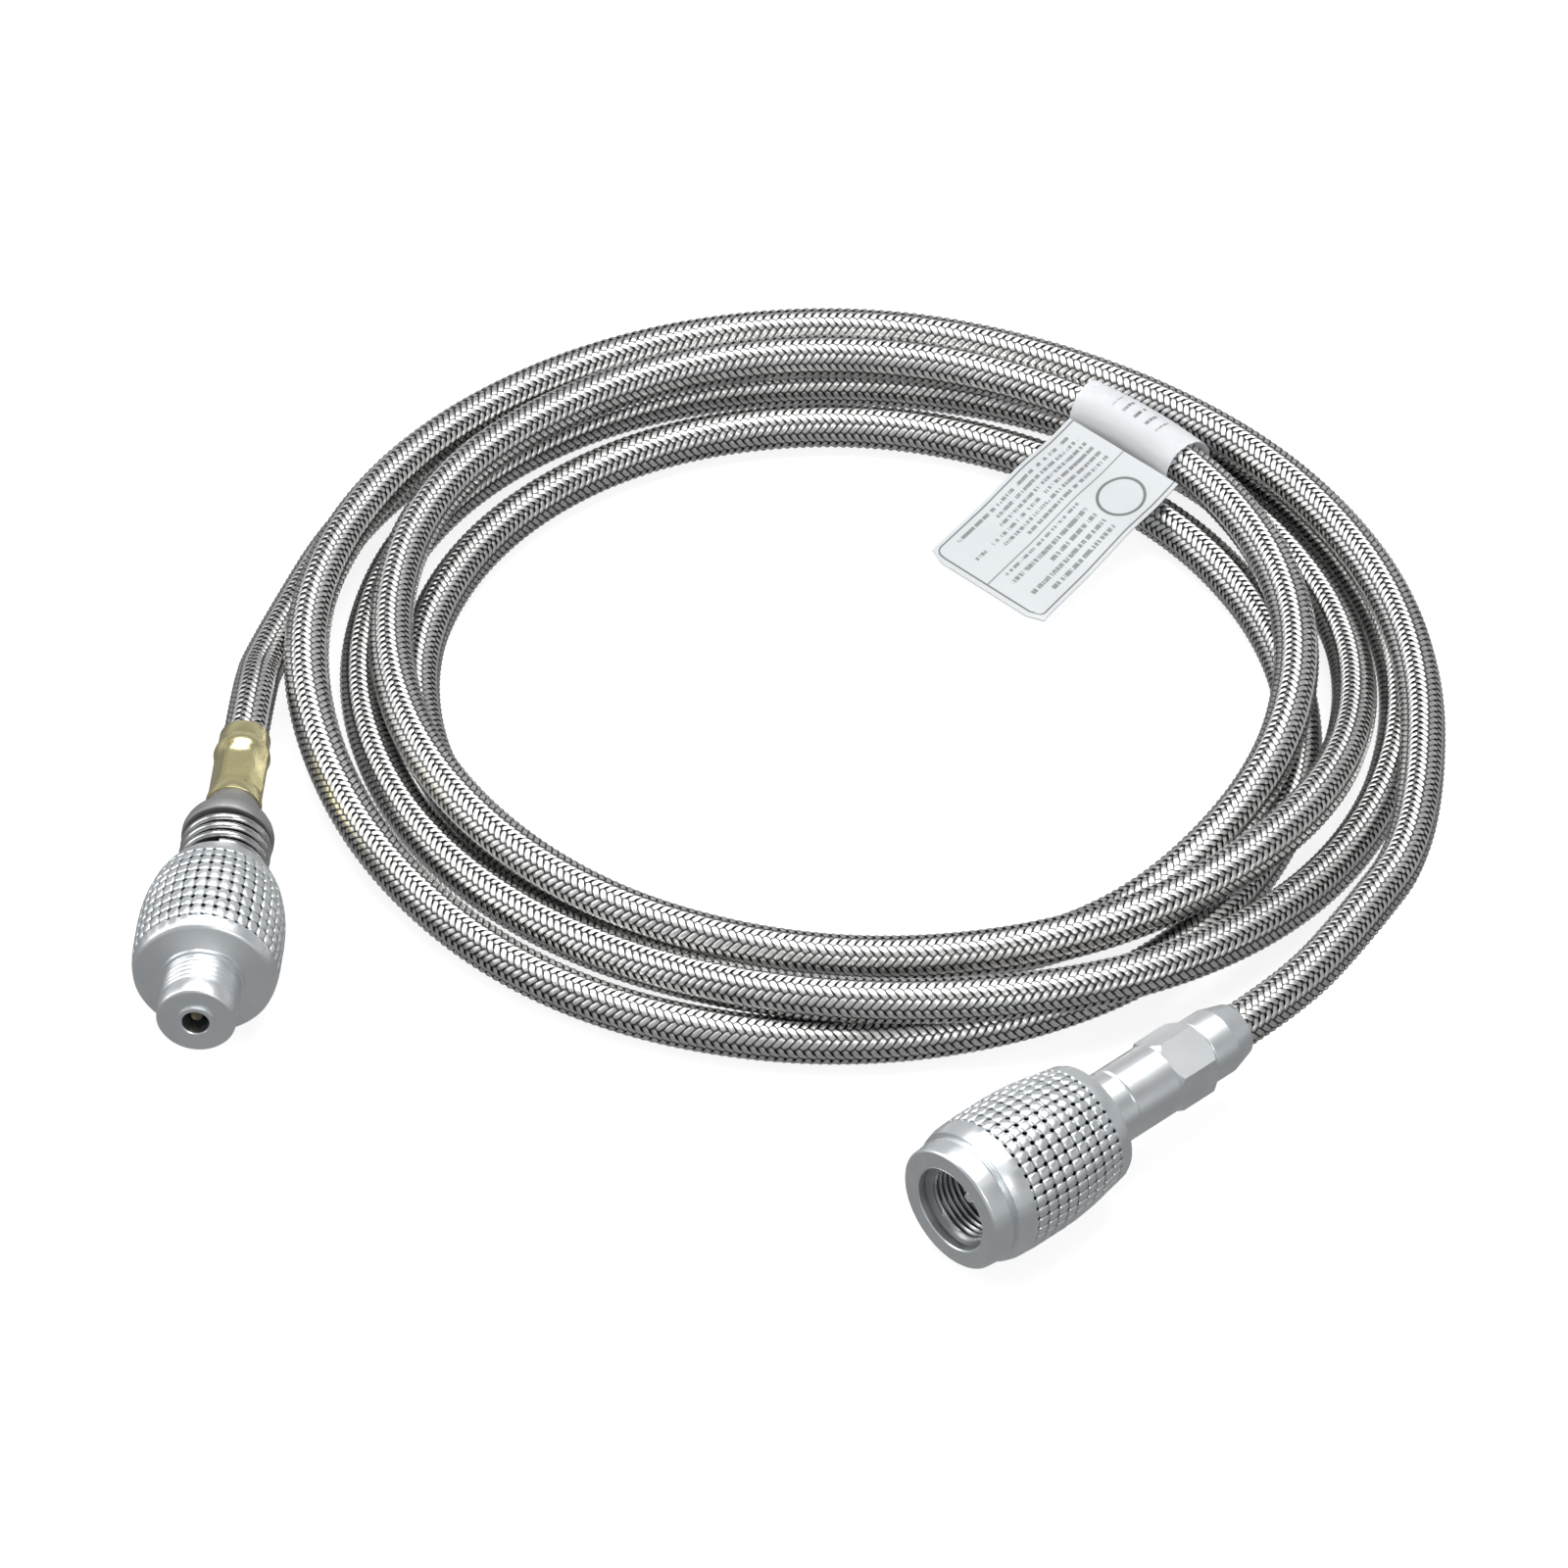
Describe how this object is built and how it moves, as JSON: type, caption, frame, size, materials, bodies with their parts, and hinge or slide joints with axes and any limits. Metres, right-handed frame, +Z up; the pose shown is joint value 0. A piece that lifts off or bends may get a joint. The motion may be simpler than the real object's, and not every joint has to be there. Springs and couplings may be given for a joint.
{
  "type": "gas extension hose",
  "caption": "Coiled steel-braided gas hose with a knurled female screw fitting at one end and a knurled male valve fitting at the other.",
  "frame": {"origin": "on the surface that the hose lies on, midway between the extents of the two end fittings", "axes": "+Z up, +X from the male fitting towards the female fitting, +Y towards the coil"},
  "size_m": [0.1854, 0.2091, 0.0208],
  "materials": {
    "hose": "rubber hose under a stainless braid",
    "satin_alloy": "satin silver",
    "seal_rubber": "matt black",
    "liner_rubber": "matt black",
    "pin_steel": "turned",
    "pin_brass": "turned",
    "spring_steel": "drawn wire",
    "ferrule_brass": "plated and crimped"
  },
  "bodies": {
    "hose": {"hose_coil": "hose", "hose_inlet_run": "hose", "hose_outlet_run": "hose", "inlet_stem": "satin_alloy", "inlet_seal": "seal_rubber", "depressor_pin": "pin_steel", "inlet_hex": "satin_alloy", "inlet_sleeve": "satin_alloy", "inlet_liner": "liner_rubber", "outlet_stem": "pin_brass", "spring_seat": "satin_alloy", "valve_spring": "spring_steel", "swivel_spring": "spring_steel", "outlet_ferrule": "ferrule_brass", "outlet_liner": "liner_rubber"},
    "inlet_grip": {"inlet_nut": "satin_alloy", "inlet_retainer": "satin_alloy"},
    "outlet_grip": {"outlet_head": "satin_alloy", "head_retainer": "satin_alloy", "valve_seat": "seal_rubber"},
    "poppet": {"valve_poppet": "pin_brass"}
  },
  "joints": [
    {"name": "inlet_swivel", "type": "hinge", "parent": "hose", "child": "inlet_grip", "pos_m": [0.05008, -0.03296, 0.0104], "axis": [0.7337, 0.6794, 0], "continuous": true},
    {"name": "outlet_swivel", "type": "hinge", "parent": "hose", "child": "outlet_grip", "pos_m": [-0.06684, 0.01188, 0.0104], "axis": [0.0663, 0.9978, 0], "continuous": true},
    {"name": "valve_press", "type": "slide", "parent": "outlet_grip", "child": "poppet", "axis": [0.0663, 0.9978, 0], "range_m": [0, 0.0015], "stiffness_N_per_m": 600}
  ]
}
